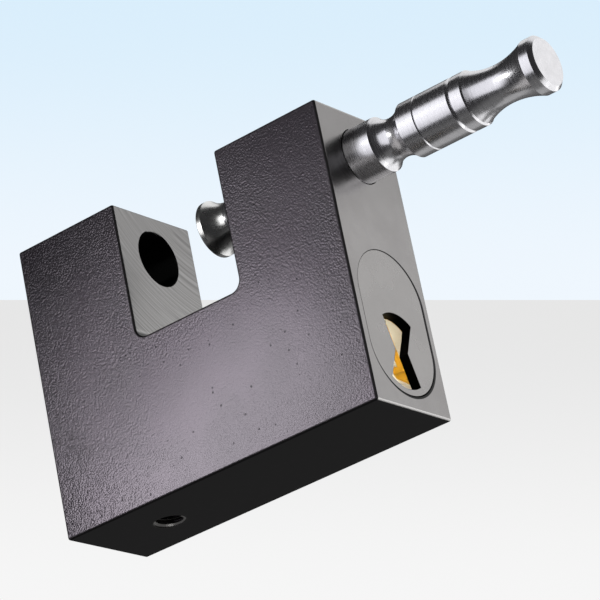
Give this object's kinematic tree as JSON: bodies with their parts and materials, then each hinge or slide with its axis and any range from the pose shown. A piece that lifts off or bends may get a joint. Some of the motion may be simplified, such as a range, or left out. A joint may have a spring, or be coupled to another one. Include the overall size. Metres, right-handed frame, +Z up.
{
  "type": "container padlock",
  "caption": "Armoured block padlock with a sliding straight bolt across the gap between its two towers, and a plug cylinder behind a hardened cover.",
  "frame": {"origin": "middle of the block's flat bottom face", "axes": "+X along the bolt towards its head, +Y from the coated front face to the back, +Z up to the towers' tops"},
  "size_m": [0.1498, 0.0296, 0.077],
  "materials": {
    "coated_steel": "textured dark coating",
    "turned_steel": "fine turned",
    "bright_steel": "polished",
    "inner_steel": "ground",
    "black_steel": "blackened",
    "spring_steel": "drawn",
    "satin_steel": "satin",
    "brass": "machined"
  },
  "bodies": {
    "lock_body": {"body": "coated_steel", "set_screw": "black_steel", "cylinder_cover": "satin_steel", "cover_rivets": "satin_steel", "cylinder_body": "brass", "chamber_cap": "brass", "cylinder_cross_pin": "inner_steel", "detent_spring": "spring_steel", "pin_spring_1": "spring_steel", "pin_spring_2": "spring_steel", "pin_spring_3": "spring_steel", "pin_spring_4": "spring_steel", "pin_spring_5": "spring_steel"},
    "bolt": {"bolt": "turned_steel", "bolt_end": "bright_steel"},
    "plug": {"plug": "brass", "drive_shaft": "inner_steel"},
    "latch_rod": {"latch_rod": "inner_steel"},
    "detent_ball": {"detent_ball": "bright_steel"},
    "key_pin_1": {"key_pin_1": "brass"},
    "driver_pin_1": {"driver_pin_1": "inner_steel"},
    "key_pin_2": {"key_pin_2": "brass"},
    "driver_pin_2": {"driver_pin_2": "inner_steel"},
    "key_pin_3": {"key_pin_3": "brass"},
    "driver_pin_3": {"driver_pin_3": "inner_steel"},
    "key_pin_4": {"key_pin_4": "brass"},
    "driver_pin_4": {"driver_pin_4": "inner_steel"},
    "key_pin_5": {"key_pin_5": "brass"},
    "driver_pin_5": {"driver_pin_5": "inner_steel"}
  },
  "joints": [
    {"name": "bolt_slide", "type": "slide", "parent": "lock_body", "child": "bolt", "axis": [1, 0, 0], "range_m": [-0.0361, 0.01415]},
    {"name": "plug_turn", "type": "hinge", "parent": "lock_body", "child": "plug", "pos_m": [0, 0, 0.015], "axis": [-1, 0, 0], "range_deg": [0, 34]},
    {"name": "latch_slide", "type": "slide", "parent": "lock_body", "child": "latch_rod", "axis": [0, 0, 1], "range_m": [0, 0.00176]},
    {"name": "detent_slide", "type": "slide", "parent": "lock_body", "child": "detent_ball", "axis": [0, 0, 1], "range_m": [-0.0005, 0], "stiffness_N_per_m": 500, "springref_m": 0.003, "deforming": ["detent_spring"]},
    {"name": "key_pin_1_slide", "type": "slide", "parent": "plug", "child": "key_pin_1", "axis": [0, -0.2924, 0.9563], "range_m": [-0.0015, 0]},
    {"name": "driver_pin_1_slide", "type": "slide", "parent": "lock_body", "child": "driver_pin_1", "axis": [0, 0.2924, 0.9563], "range_m": [0, 0.0015], "stiffness_N_per_m": 60, "springref_m": -0.004, "deforming": ["pin_spring_1"]},
    {"name": "key_pin_2_slide", "type": "slide", "parent": "plug", "child": "key_pin_2", "axis": [0, -0.2924, 0.9563], "range_m": [-0.0008, 0]},
    {"name": "driver_pin_2_slide", "type": "slide", "parent": "lock_body", "child": "driver_pin_2", "axis": [0, 0.2924, 0.9563], "range_m": [0, 0.0015], "stiffness_N_per_m": 60, "springref_m": -0.004, "deforming": ["pin_spring_2"]},
    {"name": "key_pin_3_slide", "type": "slide", "parent": "plug", "child": "key_pin_3", "axis": [0, -0.2924, 0.9563], "range_m": [-0.00115, 0]},
    {"name": "driver_pin_3_slide", "type": "slide", "parent": "lock_body", "child": "driver_pin_3", "axis": [0, 0.2924, 0.9563], "range_m": [0, 0.0015], "stiffness_N_per_m": 60, "springref_m": -0.004, "deforming": ["pin_spring_3"]},
    {"name": "key_pin_4_slide", "type": "slide", "parent": "plug", "child": "key_pin_4", "axis": [0, -0.2924, 0.9563], "range_m": [-0.00045, 0]},
    {"name": "driver_pin_4_slide", "type": "slide", "parent": "lock_body", "child": "driver_pin_4", "axis": [0, 0.2924, 0.9563], "range_m": [0, 0.0015], "stiffness_N_per_m": 60, "springref_m": -0.004, "deforming": ["pin_spring_4"]},
    {"name": "key_pin_5_slide", "type": "slide", "parent": "plug", "child": "key_pin_5", "axis": [0, -0.2924, 0.9563], "range_m": [-0.00185, 0]},
    {"name": "driver_pin_5_slide", "type": "slide", "parent": "lock_body", "child": "driver_pin_5", "axis": [0, 0.2924, 0.9563], "range_m": [0, 0.0015], "stiffness_N_per_m": 60, "springref_m": -0.004, "deforming": ["pin_spring_5"]}
  ],
  "couplings": [
    {"joint": "latch_slide", "follows": "plug_turn", "m_per_rad": 0.0029562},
    {"joint": "key_pin_2_slide", "follows": "key_pin_1_slide", "ratio": 0.53333},
    {"joint": "driver_pin_2_slide", "follows": "driver_pin_1_slide", "ratio": 1},
    {"joint": "key_pin_3_slide", "follows": "key_pin_1_slide", "ratio": 0.76667},
    {"joint": "driver_pin_3_slide", "follows": "driver_pin_1_slide", "ratio": 1},
    {"joint": "key_pin_4_slide", "follows": "key_pin_1_slide", "ratio": 0.3},
    {"joint": "driver_pin_4_slide", "follows": "driver_pin_1_slide", "ratio": 1},
    {"joint": "key_pin_5_slide", "follows": "key_pin_1_slide", "ratio": 1.2333},
    {"joint": "driver_pin_5_slide", "follows": "driver_pin_1_slide", "ratio": 1}
  ]
}
